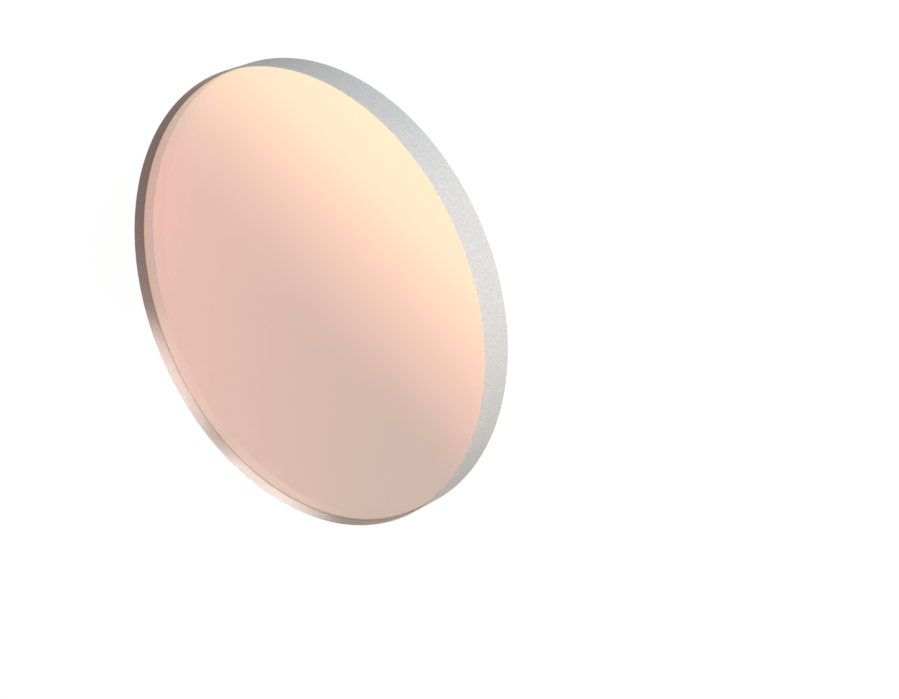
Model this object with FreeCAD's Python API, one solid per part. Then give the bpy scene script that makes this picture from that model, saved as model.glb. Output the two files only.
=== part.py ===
import FreeCAD, Part
import math
import os

# Spherical mirror: a thin round glass blank that lies on its flat back.
# Its front is a shallow concave sphere, and Z is the optical axis, pointing out of that front.
# The origin is the centre of the back face.

# Driving sizes in millimetres
DIAMETER = 50.8
EDGE_THICKNESS = 3.7
FRONT_RADIUS = 1000.0
FRONT_BEVEL = 0.1
BACK_BEVEL = 0.1

# Sizes that follow from them
RIM_RADIUS = DIAMETER / 2
SAG = FRONT_RADIUS - math.sqrt(FRONT_RADIUS**2 - RIM_RADIUS**2)
CENTRE_THICKNESS = EDGE_THICKNESS - SAG

OPTICAL_AXIS = FreeCAD.Vector(0, 0, 1)
FULL_TURN = 360


def section_point(radius, height):
    """A point of the half section, at this distance from the optical axis and above the back."""
    return FreeCAD.Vector(radius, 0, height)


def front_point(radius):
    """The point of the spherical front at this distance from the optical axis."""
    rise = FRONT_RADIUS - math.sqrt(FRONT_RADIUS**2 - radius**2)
    return section_point(radius, CENTRE_THICKNESS + rise)


def half_section():
    """The blank's section on one side of the optical axis, as a flat face."""
    back_centre = section_point(0, 0)
    back_edge = section_point(RIM_RADIUS - BACK_BEVEL, 0)
    rim_bottom = section_point(RIM_RADIUS, BACK_BEVEL)
    rim_top = section_point(RIM_RADIUS, EDGE_THICKNESS - FRONT_BEVEL)
    face_radius = RIM_RADIUS - FRONT_BEVEL
    front_edge = front_point(face_radius)
    front_centre = front_point(0)

    back = Part.LineSegment(back_centre, back_edge)
    lower_bevel = Part.LineSegment(back_edge, rim_bottom)
    rim = Part.LineSegment(rim_bottom, rim_top)
    upper_bevel = Part.LineSegment(rim_top, front_edge)
    front = Part.Arc(front_edge, front_point(face_radius / 2), front_centre)
    axis = Part.LineSegment(front_centre, back_centre)
    outline = [back, lower_bevel, rim, upper_bevel, front, axis]
    return Part.Face(Part.Wire([line.toShape() for line in outline]))


def make_mirror_substrate():
    """The mirror's one piece: the half section turned once round the optical axis."""
    return half_section().revolve(FreeCAD.Vector(0, 0, 0), OPTICAL_AXIS, FULL_TURN)


def main():
    """Write the part's one piece."""
    os.makedirs("parts", exist_ok=True)
    mirror_substrate = make_mirror_substrate()
    mirror_substrate.exportStep("parts/mirror_substrate.step")


main()
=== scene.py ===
"""Dresses the spherical mirror: one round glass blank, seen from above on a plain white studio floor."""

import logging
import math
from dataclasses import dataclass
from enum import IntEnum

import bmesh
import bpy
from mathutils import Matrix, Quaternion, Vector


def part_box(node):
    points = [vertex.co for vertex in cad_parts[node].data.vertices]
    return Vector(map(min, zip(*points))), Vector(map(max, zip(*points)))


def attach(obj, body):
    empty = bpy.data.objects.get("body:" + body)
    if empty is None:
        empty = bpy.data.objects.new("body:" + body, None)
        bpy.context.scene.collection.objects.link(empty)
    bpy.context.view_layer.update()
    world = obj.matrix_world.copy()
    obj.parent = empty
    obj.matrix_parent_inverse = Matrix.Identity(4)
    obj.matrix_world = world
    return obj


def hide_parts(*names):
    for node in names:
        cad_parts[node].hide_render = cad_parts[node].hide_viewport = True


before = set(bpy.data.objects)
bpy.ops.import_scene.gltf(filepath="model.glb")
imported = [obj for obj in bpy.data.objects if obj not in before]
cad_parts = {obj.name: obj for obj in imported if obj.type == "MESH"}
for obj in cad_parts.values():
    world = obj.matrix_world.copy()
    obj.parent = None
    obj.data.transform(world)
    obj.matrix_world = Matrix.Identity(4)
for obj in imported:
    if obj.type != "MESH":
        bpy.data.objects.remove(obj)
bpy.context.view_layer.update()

logging.basicConfig(level=logging.INFO, format="%(message)s")
LOG = logging.getLogger("spherical_mirror")

NODE = "mirror_substrate"
BODY = "root"

# Lengths are in metres unless a name says otherwise
Colour = tuple[float, float, float]
Point = tuple[float, float, float]
Stops = tuple[tuple[float, Colour], ...]
Node = bpy.types.Node
Socket = bpy.types.NodeSocket

LOWEST, HIGHEST = (Vector(corner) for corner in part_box(NODE))
RIM_RADIUS = (HIGHEST.x - LOWEST.x) / 2
MM_PER_M = 1000.0
MERGE_DISTANCE = 1e-7
NODE_SPACING = 180.0

WHITE: Colour = (1.0, 1.0, 1.0)
GLASS_IOR = 1.9
WARM_GLOSS: Colour = (0.94, 0.79, 0.69)
# Heading towards which the front's painted reflection grows warmest and the back mirrors most
WARM_REFLECTION_HEADING_DEG = 42.0


class Zone(IntEnum):
    """The zones of the blank that are finished in their own way, numbered as its material slots."""

    FRONT = 0
    FRONT_BEVEL = 1
    RIM = 2
    BACK_BEVEL = 3
    BACK_EDGE = 4
    BACK = 5


class ShaderSheet:
    """A material's node tree, laid out from left to right as its nodes are added."""

    def __init__(self, tree: bpy.types.NodeTree) -> None:
        """Start from an empty tree.

        Args:
            tree: The node tree to clear and fill.
        """
        self.tree = tree
        self.tree.nodes.clear()

    def add(self, kind: str, **settings: object) -> Node:
        """Add one node.

        Args:
            kind: Blender's name for the node's type.
            settings: Properties to set on it.

        Returns:
            The new node.
        """
        node = self.tree.nodes.new(kind)
        node.location.x = NODE_SPACING * len(self.tree.nodes)
        for name, value in settings.items():
            setattr(node, name, value)
        return node

    def put(self, node: Node, **values: object) -> Node:
        """Set or feed a node's inputs, named with underscores for spaces.

        Args:
            node: The node whose inputs are set.
            values: A number, a colour or another node's output for each input.

        Returns:
            The same node.
        """
        for name, value in values.items():
            self.feed(node.inputs[name.replace("_", " ")], value)
        return node

    def feed(self, socket: Socket, value: object) -> None:
        """Link an output to a socket, or set the socket's own value.

        Args:
            socket: The input to fill.
            value: An output socket, a number, or a colour or vector.
        """
        if isinstance(value, Socket):
            self.tree.links.new(value, socket)
        elif isinstance(value, tuple) and socket.type == "RGBA":
            socket.default_value = (*value, 1.0)
        else:
            socket.default_value = value

    def maths(self, operation: str, *values: object, clamp: bool = False) -> Socket:
        """Add a Math node.

        Args:
            operation: The Math node's operation.
            values: Its inputs in order, as numbers or outputs.
            clamp: Whether the result is held between 0 and 1.

        Returns:
            The node's output.
        """
        node = self.add("ShaderNodeMath", operation=operation, use_clamp=clamp)
        for socket, value in zip(node.inputs, values):
            self.feed(socket, value)
        return node.outputs[0]

    def rise(self, value: Socket, start: float, full: float) -> Socket:
        """Rise smoothly from 0 to 1.

        Args:
            value: What the rise depends on.
            start: The value up to which it is 0.
            full: The value from which it is 1.

        Returns:
            The share risen.
        """
        node = self.add("ShaderNodeMapRange", interpolation_type="SMOOTHSTEP")
        return self.put(node, Value=value, From_Min=start, From_Max=full).outputs["Result"]

    def ramp(self, factor: Socket, stops: Stops) -> Socket:
        """Add a colour ramp.

        Args:
            factor: Where along the ramp to read.
            stops: Each stop's place from 0 to 1 and its colour.

        Returns:
            The ramp's colour.
        """
        node = self.add("ShaderNodeValToRGB")
        elements = node.color_ramp.elements
        middle = 0.5
        while len(elements) < len(stops):
            elements.new(middle)
        for element, (place, colour) in zip(elements, stops):
            element.position = place
            element.color = (*colour, 1.0)
        self.feed(node.inputs["Fac"], factor)
        return node.outputs["Color"]

    def blend(self, share: Socket, first: object, second: object) -> Socket:
        """Blend two colours.

        Args:
            share: The second colour's share.
            first: The colour shown at 0, or an output that gives it.
            second: The colour shown at 1, or an output that gives it.

        Returns:
            The blended colour.
        """
        node = self.add("ShaderNodeMix", data_type="RGBA")
        colours = [socket for socket in node.inputs if socket.type == "RGBA"]
        self.feed(node.inputs["Factor"], share)
        self.feed(colours[0], first)
        self.feed(colours[1], second)
        return next(socket for socket in node.outputs if socket.type == "RGBA")

    def mix(self, factor: object, first: Socket, second: Socket) -> Socket:
        """Mix two shaders.

        Args:
            factor: The second shader's share.
            first: The shader shown at 0.
            second: The shader shown at 1.

        Returns:
            The mixed shader.
        """
        node = self.add("ShaderNodeMixShader")
        for socket, value in zip(node.inputs, (factor, first, second)):
            self.feed(socket, value)
        return node.outputs[0]

    def close(self, shader: Socket, kind: str = "ShaderNodeOutputMaterial") -> None:
        """Lead the finished shader to the output.

        Args:
            shader: The shader to show.
            kind: The type of the output node.
        """
        self.put(self.add(kind), Surface=shader)


def new_sheet(name: str) -> tuple[bpy.types.Material, ShaderSheet]:
    """Make an empty material.

    Args:
        name: The finish's name.

    Returns:
        The material and the sheet of its nodes.
    """
    material = bpy.data.materials.new(name)
    material.use_nodes = True
    return material, ShaderSheet(material.node_tree)


def place_along(sheet: ShaderSheet, heading_deg: float) -> Socket:
    """Measure how far a point of the blank lies along a heading.

    Args:
        sheet: The sheet to draw on.
        heading_deg: The heading across the face, from +X towards +Y.

    Returns:
        0 at the near edge, 0.5 at the centre and 1 at the far edge.
    """
    half, centre = 0.5, 0.5
    turned = sheet.put(
        sheet.add("ShaderNodeMapping", vector_type="TEXTURE"),
        Vector=sheet.add("ShaderNodeTexCoord").outputs["Object"],
        Rotation=(0.0, 0.0, math.radians(heading_deg)),
        Scale=(RIM_RADIUS, RIM_RADIUS, RIM_RADIUS),
    )
    place = sheet.put(sheet.add("ShaderNodeSeparateXYZ"), Vector=turned.outputs[0]).outputs["X"]
    return sheet.maths("MULTIPLY_ADD", place, half, centre, clamp=True)


def polished_glass(sheet: ShaderSheet, **values: object) -> Socket:
    """Add clear polished glass.

    Args:
        sheet: The sheet to draw on.
        values: The glass shader's other inputs, such as its colour.

    Returns:
        The shader.
    """
    glass = sheet.add("ShaderNodeBsdfPrincipled")
    return sheet.put(glass, Roughness=0.0, IOR=GLASS_IOR, Transmission_Weight=1.0, **values).outputs[0]


def seen_rays(sheet: ShaderSheet) -> Socket:
    """Pick the rays that show a surface, straight, in gloss or through polished glass.

    Args:
        sheet: The sheet to draw on.

    Returns:
        1 for those rays and 0 for rays that only carry light.
    """
    path = sheet.add("ShaderNodeLightPath").outputs
    return sheet.maths("MAXIMUM", path["Is Camera Ray"], path["Is Glossy Ray"])


@dataclass(frozen=True)
class CoatingWithPaintedReflection:
    """The warm, partly see-through mirror coating on the polished front.

    Most of the face is the coating's own rose beige. Painted into it is a reflection: it darkens towards one
    edge, is warmest and brightest towards the opposite one, and another side pales to cream in a painted
    highlight.
    """

    mirror_share: float = 0.09
    # The coating's rose tint with a painted reflection: darker at the near end of the warm heading, warmest
    # and brightest at the far end
    tint_and_painted_reflection_stops: Stops = (
        (0.1, (0.39, 0.303, 0.256)),
        (0.5, (0.493, 0.33, 0.269)),
        (0.85, (0.638, 0.365, 0.289)),
        (1.0, (0.825, 0.375, 0.298)),
    )
    # Painted highlight: towards this heading the face pales to cream, standing in for a warm bright
    # reflection
    highlight_heading_deg: float = -59.3
    highlight_start: float = 0.42
    highlight_full: float = 0.66
    painted_highlight_stops: Stops = (
        (0.5, (0.65, 0.391, 0.309)),
        (0.65, (0.745, 0.472, 0.356)),
        (0.75, (0.97, 0.625, 0.417)),
        (0.86, (0.97, 0.846, 0.511)),
        (1.0, (0.97, 0.941, 0.553)),
    )

    def material(self) -> bpy.types.Material:
        """Build the finish."""
        material, sheet = new_sheet("coating_painted_reflection")
        toward_highlight = place_along(sheet, self.highlight_heading_deg)
        # The coating's tint carrying its painted reflection and its painted cream highlight
        tint = sheet.blend(
            sheet.rise(toward_highlight, self.highlight_start, self.highlight_full),
            sheet.ramp(place_along(sheet, WARM_REFLECTION_HEADING_DEG), self.tint_and_painted_reflection_stops),
            sheet.ramp(toward_highlight, self.painted_highlight_stops),
        )
        sheet.close(
            polished_glass(sheet, Base_Color=tint, Metallic=self.mirror_share, Specular_Tint=WARM_GLOSS)
        )
        return material


@dataclass(frozen=True)
class PolishedBack:
    """The polished flat back, whose thin coating mirrors a little more towards its warm edge."""

    edge_start: float = 0.78
    edge_full: float = 0.94
    tint: Colour = (0.83, 0.58, 0.51)
    tint_at_edge: Colour = (1.0, 0.84, 0.79)
    mirror_share: float = 0.02
    mirror_share_at_edge: float = 0.36

    def material(self) -> bpy.types.Material:
        """Build the finish."""
        material, sheet = new_sheet("polished_back")
        edge_share = sheet.rise(place_along(sheet, WARM_REFLECTION_HEADING_DEG), self.edge_start, self.edge_full)
        tint = sheet.blend(edge_share, self.tint, self.tint_at_edge)
        gain = self.mirror_share_at_edge - self.mirror_share
        mirror_share = sheet.maths("MULTIPLY_ADD", edge_share, gain, self.mirror_share)
        sheet.close(polished_glass(sheet, Base_Color=tint, Metallic=mirror_share, Specular_Tint=WARM_GLOSS))
        return material


@dataclass(frozen=True)
class GoldenEdge:
    """The hairline round the polished back where its thin coating ends and looks golden."""

    tint: Colour = (0.4, 0.23, 0.06)

    def material(self) -> bpy.types.Material:
        """Build the finish."""
        material, sheet = new_sheet("golden_edge")
        sheet.close(polished_glass(sheet, Base_Color=self.tint))
        return material


@dataclass(frozen=True)
class GroundGlass:
    """Fine-ground glass: grey, matt and speckled by its grain from outside, and lit through from inside."""

    name: str
    dark: Colour
    pale: Colour
    dark_through: Colour
    pale_through: Colour
    grain_m: float = 0.00018
    grain_span: tuple[float, float] = (0.44, 0.56)
    grain_detail: float = 2.0
    grain_roughness: float = 0.7
    relief_m: float = 0.00002
    relief_strength: float = 0.4
    roughness: float = 0.6
    specular: float = 0.2

    def material(self) -> bpy.types.Material:
        """Build the finish."""
        material, sheet = new_sheet(self.name)
        grain = sheet.put(
            sheet.add("ShaderNodeTexNoise"),
            Vector=sheet.add("ShaderNodeTexCoord").outputs["Object"],
            Scale=1.0 / self.grain_m,
            Detail=self.grain_detail,
            Roughness=self.grain_roughness,
        ).outputs["Fac"]
        relief = sheet.put(
            sheet.add("ShaderNodeBump"),
            Strength=self.relief_strength,
            Distance=self.relief_m,
            Height=grain,
        ).outputs["Normal"]
        low, high = self.grain_span
        matt = sheet.put(
            sheet.add("ShaderNodeBsdfPrincipled"),
            Base_Color=sheet.ramp(grain, ((low, self.dark), (high, self.pale))),
            Roughness=self.roughness,
            Specular_IOR_Level=self.specular,
            Normal=relief,
        )
        glow = sheet.put(
            sheet.add("ShaderNodeBsdfTranslucent"),
            Color=sheet.ramp(grain, ((low, self.dark_through), (high, self.pale_through))),
            Normal=relief,
        )
        inside = sheet.add("ShaderNodeNewGeometry").outputs["Backfacing"]
        sheet.close(sheet.mix(inside, matt.outputs[0], glow.outputs[0]))
        return material


GROUND_RIM = GroundGlass(
    name="ground_rim",
    dark=(0.565, 0.565, 0.56),
    pale=(0.66, 0.66, 0.655),
    dark_through=(0.74, 0.73, 0.72),
    pale_through=(1.0, 0.99, 0.98),
)
GROUND_BEVEL = GroundGlass(
    name="ground_bevel",
    dark=(0.57, 0.57, 0.6),
    pale=(0.71, 0.71, 0.74),
    dark_through=(0.66, 0.68, 0.68),
    pale_through=(0.96, 1.0, 1.0),
)


@dataclass
class MirrorBlank:
    """The mirror's one piece, a round glass blank that lies on its flat back.

    A face of its mesh is on the rim where its normal rises by less than rim_rise, and on a bevel where it
    rises by less than bevel_rise.
    """

    rim_radius: float
    height: float
    front_radius: float = 1.0
    bevel: float = 0.0001
    edge_line: float = 0.0001
    arc_steps: int = 32
    turn_steps: int = 384
    rim_rise: float = 0.1
    bevel_rise: float = 0.9

    def section(self, mesh: bmesh.types.BMesh) -> list[bmesh.types.BMVert | bmesh.types.BMEdge]:
        """Draw half of the blank's section, from the centre of the back round to the centre of the front.

        Args:
            mesh: The mesh to draw in.

        Returns:
            The section's vertices and edges.
        """
        face_radius = self.rim_radius - self.bevel
        corners: tuple[Point, ...] = (
            (0.0, 0.0, 0.0),
            (face_radius - self.edge_line, 0.0, 0.0),
            (face_radius, 0.0, 0.0),
            (self.rim_radius, 0.0, self.bevel),
            (self.rim_radius, 0.0, self.height - self.bevel),
            (face_radius, 0.0, self.height),
        )
        points = [mesh.verts.new(corner) for corner in corners]
        for start, end in zip(points, points[1:]):
            mesh.edges.new((start, end))
        depth = math.sqrt(self.front_radius**2 - face_radius**2)
        bmesh.ops.spin(
            mesh,
            geom=[points[-1]],
            cent=(0.0, 0.0, self.height + depth),
            axis=(0.0, 1.0, 0.0),
            angle=math.asin(face_radius / self.front_radius),
            steps=self.arc_steps,
        )
        return [*mesh.verts, *mesh.edges]

    def zone_of(self, face: bmesh.types.BMFace) -> Zone:
        """Tell which zone a face belongs to by the way it faces and how far out it lies.

        Args:
            face: A face of the closed blank.

        Returns:
            Its zone.
        """
        rise = face.normal.z
        if abs(rise) < self.rim_rise:
            return Zone.RIM
        if abs(rise) < self.bevel_rise:
            return Zone.FRONT_BEVEL if rise > 0 else Zone.BACK_BEVEL
        if rise > 0:
            return Zone.FRONT
        inner_radius = self.rim_radius - self.bevel - self.edge_line
        return Zone.BACK_EDGE if face.calc_center_median().xy.length > inner_radius else Zone.BACK

    def shape(self) -> bpy.types.Mesh:
        """Turn the section round the optical axis and mark each face with its zone.

        Returns:
            The closed blank.
        """
        mesh = bmesh.new()
        bmesh.ops.spin(
            mesh,
            geom=self.section(mesh),
            cent=(0.0, 0.0, 0.0),
            axis=(0.0, 0.0, 1.0),
            angle=math.tau,
            steps=self.turn_steps,
            use_merge=True,
        )
        bmesh.ops.remove_doubles(mesh, verts=mesh.verts, dist=MERGE_DISTANCE)
        bmesh.ops.recalc_face_normals(mesh, faces=mesh.faces)
        for face in mesh.faces:
            face.smooth = True
            face.material_index = self.zone_of(face)
        for edge in mesh.edges:
            edge.smooth = len({face.material_index for face in edge.link_faces}) == 1
        data = bpy.data.meshes.new("mirror_blank")
        mesh.to_mesh(data)
        mesh.free()
        return data

    def dress(self, data: bpy.types.Mesh) -> None:
        """Give each zone its finish.

        Args:
            data: The blank, with its faces marked.
        """
        finishes = {
            Zone.FRONT: CoatingWithPaintedReflection(),
            Zone.FRONT_BEVEL: GROUND_BEVEL,
            Zone.RIM: GROUND_RIM,
            Zone.BACK_BEVEL: GROUND_RIM,
            Zone.BACK_EDGE: GoldenEdge(),
            Zone.BACK: PolishedBack(),
        }
        materials = {finish: finish.material() for finish in dict.fromkeys(finishes.values())}
        for zone in Zone:
            data.materials.append(materials[finishes[zone]])

    def build(self) -> bpy.types.Object:
        """Shape and dress the blank, and let it stand for its CAD node.

        Returns:
            The blank as one closed piece.
        """
        data = self.shape()
        self.dress(data)
        piece = bpy.data.objects.new("mirror_blank", data)
        bpy.context.collection.objects.link(piece)
        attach(piece, BODY)
        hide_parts(NODE)
        diameter_mm = 2 * self.rim_radius * MM_PER_M
        LOG.info("mirror_blank: %d faces, %.1f mm across", len(data.polygons), diameter_mm)
        return piece


def hang(name: str, data: bpy.types.Light, bearing_deg: float, rise_deg: float, distance: float) -> None:
    """Hang a lamp and point it at the mirror. Glass and gloss don't show it.

    Args:
        name: The lamp's name.
        data: Its light.
        bearing_deg: Its bearing round the optical axis, from +X towards +Y.
        rise_deg: Its rise above the floor.
        distance: How far it is from the centre of the mirror's back.
    """
    bearing, rise = math.radians(bearing_deg), math.radians(rise_deg)
    level = distance * math.cos(rise)
    place = Vector((level * math.cos(bearing), level * math.sin(bearing), distance * math.sin(rise)))
    lamp = bpy.data.objects.new(name, data)
    lamp.location = place
    lamp.rotation_euler = place.to_track_quat("Z", "Y").to_euler()
    lamp.visible_glossy = False
    lamp.visible_transmission = False
    bpy.context.collection.objects.link(lamp)


@dataclass(frozen=True)
class Softbox:
    """A square studio lamp that faces the mirror."""

    name: str
    bearing_deg: float
    rise_deg: float
    distance: float
    side: float
    power: float
    colour: Colour = WHITE

    def light(self) -> None:
        """Hang the lamp and point it at the mirror."""
        data = bpy.data.lights.new(self.name, "AREA")
        data.color = self.colour
        data.shape = "SQUARE"
        data.size = self.side
        data.energy = self.power
        hang(self.name, data, self.bearing_deg, self.rise_deg, self.distance)


@dataclass(frozen=True)
class SnootedLamp:
    """A small lamp in a snoot, which lights one patch of the rim through a soft-edged beam."""

    name: str
    bearing_deg: float
    rise_deg: float
    distance: float
    beam_deg: float
    power: float
    beam_softness: float = 1.0
    bulb_radius: float = 0.001

    def light(self) -> None:
        """Hang the lamp and point it at the mirror."""
        data = bpy.data.lights.new(self.name, "SPOT")
        data.spot_size = math.radians(self.beam_deg)
        data.spot_blend = self.beam_softness
        data.shadow_soft_size = self.bulb_radius
        data.energy = self.power
        hang(self.name, data, self.bearing_deg, self.rise_deg, self.distance)


@dataclass
class Studio:
    """The white floor, the soft light and the camera.

    The floor throws little light back at the mirror, because it is matt grey. Its lift makes it white
    wherever it is seen, and the glass lift is added to that where it is seen through the polished glass.
    """

    floor_side: float = 6.0
    floor_drop: float = 0.00002
    floor_colour: Colour = (0.25, 0.25, 0.25)
    floor_lift: float = 0.93
    glass_lift: float = 0.12
    lens_mm: float = 91.6
    sensor_mm: float = 36.0
    camera_distance: float = 0.24285
    camera_rise_deg: float = 41.82
    camera_roll_deg: float = -115.53
    aim: tuple[float, float] = (-0.01036, -0.017985)
    room_stops: Stops = (
        (0.0, (0.022, 0.0195, 0.0185)),
        (0.5, (0.051, 0.045, 0.043)),
        (1.0, (0.108, 0.096, 0.092)),
    )
    lamps: tuple[Softbox | SnootedLamp, ...] = (
        Softbox("overhead", -75.0, 78.0, 0.8, 0.5, 1.2),
        Softbox("near_side", -73.0, 10.0, 0.22, 0.05, 0.34, (0.96, 0.98, 1.0)),
        Softbox("lower_side", -144.0, 10.0, 0.6, 0.15, 2.0, (1.0, 0.92, 0.85)),
        SnootedLamp("far_middle", 110.0, 9.0, 0.12, 27.0, 0.15),
        SnootedLamp("far_left", 97.0, 9.0, 0.12, 11.4, 0.32),
        SnootedLamp("far_right", 136.0, 9.0, 0.12, 13.4, 0.43),
    )

    def floor_finish(self) -> bpy.types.Material:
        """Build the floor's finish: matt grey, lifted to white where it is seen, with the shadow kept."""
        material, sheet = new_sheet("white_floor")
        matt = sheet.put(sheet.add("ShaderNodeBsdfDiffuse"), Color=self.floor_colour)
        lift = sheet.maths("MULTIPLY", seen_rays(sheet), self.floor_lift)
        path = sheet.add("ShaderNodeLightPath").outputs
        through_glass = sheet.maths("MULTIPLY", path["Is Glossy Ray"], path["Is Transmission Ray"])
        strength = sheet.maths("MULTIPLY_ADD", through_glass, self.glass_lift, lift)
        glow = sheet.put(sheet.add("ShaderNodeEmission"), Color=WHITE, Strength=strength)
        both = sheet.add("ShaderNodeAddShader")
        for socket, shader in zip(both.inputs, (matt, glow)):
            sheet.feed(socket, shader.outputs[0])
        sheet.close(both.outputs[0])
        return material

    def lay_floor(self) -> None:
        """Lay the floor just under the mirror."""
        mesh = bmesh.new()
        bmesh.ops.create_grid(mesh, x_segments=1, y_segments=1, size=self.floor_side / 2)
        bmesh.ops.translate(mesh, verts=mesh.verts, vec=(0.0, 0.0, -self.floor_drop))
        data = bpy.data.meshes.new("floor")
        mesh.to_mesh(data)
        mesh.free()
        data.materials.append(self.floor_finish())
        floor = bpy.data.objects.new("floor", data)
        bpy.context.collection.objects.link(floor)

    def light_world(self) -> None:
        """Light the room: white where it is seen, and otherwise a soft sky that grows from the horizon up."""
        world = bpy.data.worlds.new("studio")
        bpy.context.scene.world = world
        world.use_nodes = True
        sheet = ShaderSheet(world.node_tree)
        way = sheet.add("ShaderNodeTexCoord").outputs["Generated"]
        height = sheet.put(sheet.add("ShaderNodeSeparateXYZ"), Vector=way).outputs["Z"]
        above_floor = sheet.maths("MAXIMUM", height, 0.0)
        room = sheet.put(sheet.add("ShaderNodeBackground"), Color=sheet.ramp(above_floor, self.room_stops))
        white = sheet.put(sheet.add("ShaderNodeBackground"), Color=WHITE)
        shown = sheet.mix(seen_rays(sheet), room.outputs[0], white.outputs[0])
        sheet.close(shown, "ShaderNodeOutputWorld")

    def place_camera(self, face_height: float) -> None:
        """Look down on the mirror at the photograph's angle, turned so that its outline falls as there.

        Args:
            face_height: The height of the mirror's front edge above the floor.
        """
        data = bpy.data.cameras.new("camera")
        data.sensor_width = self.sensor_mm
        data.lens = self.lens_mm
        rise = math.radians(self.camera_rise_deg)
        centre = Vector((0.0, 0.0, face_height))
        place = centre + self.camera_distance * Vector((0.0, -math.cos(rise), math.sin(rise)))
        look = (Vector((*self.aim, face_height)) - place).to_track_quat("-Z", "Y")
        roll = Quaternion((0.0, 0.0, 1.0), math.radians(self.camera_roll_deg))
        camera = bpy.data.objects.new("camera", data)
        camera.location = place
        camera.rotation_euler = (look @ roll).to_euler()
        bpy.context.collection.objects.link(camera)
        bpy.context.scene.camera = camera

    def build(self, face_height: float) -> None:
        """Set up the whole studio.

        Args:
            face_height: The height of the mirror's front edge above the floor.
        """
        self.lay_floor()
        self.light_world()
        for lamp in self.lamps:
            lamp.light()
        self.place_camera(face_height)
        bpy.context.scene.view_settings.view_transform = "Standard"


def main() -> None:
    """Build the mirror and its studio."""
    blank = MirrorBlank(rim_radius=RIM_RADIUS, height=HIGHEST.z)
    blank.build()
    Studio().build(blank.height)


if __name__ == "__main__":
    main()
